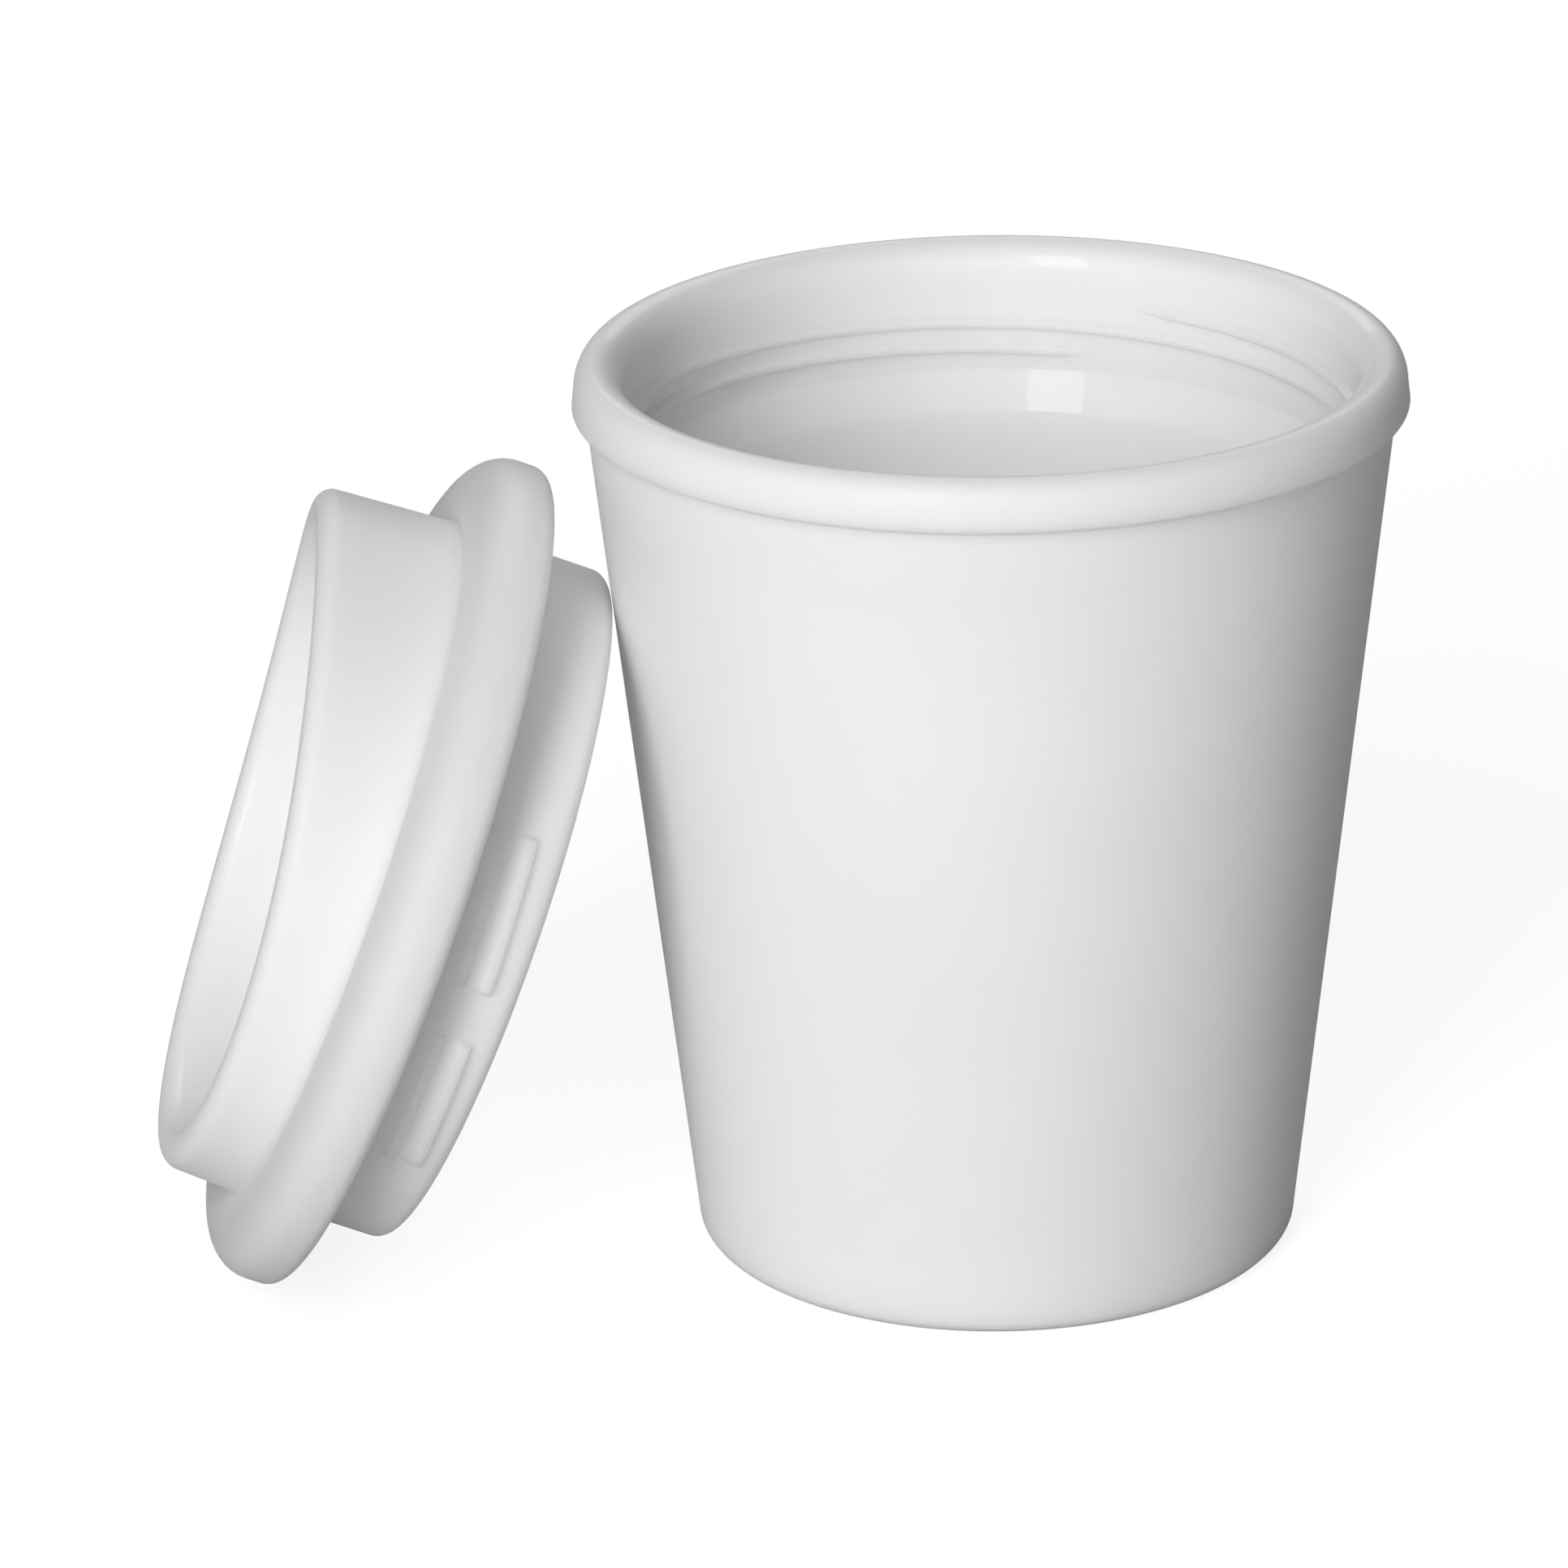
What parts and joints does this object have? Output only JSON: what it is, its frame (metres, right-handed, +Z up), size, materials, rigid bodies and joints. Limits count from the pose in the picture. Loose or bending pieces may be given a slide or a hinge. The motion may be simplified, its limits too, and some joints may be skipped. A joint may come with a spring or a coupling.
{
  "type": "reusable plastic coffee cup with screw-in drinking lid",
  "caption": "White moulded coffee cup with a rounded rim, inner screw thread and sloping seat, with its drinking lid taken off and leaning on its side.",
  "frame": {"origin": "centre of the cup's base, on the surface that the cup stands on", "axes": "+Z up the cup's axis, -X towards the leaning lid, -Y towards the viewer"},
  "size_m": [0.138, 0.0995, 0.1008],
  "materials": {
    "cup": "satin outside, glossy inside",
    "lid": "satin"
  },
  "bodies": {
    "root": {"cup": "cup", "lid": "lid"}
  },
  "joints": []
}
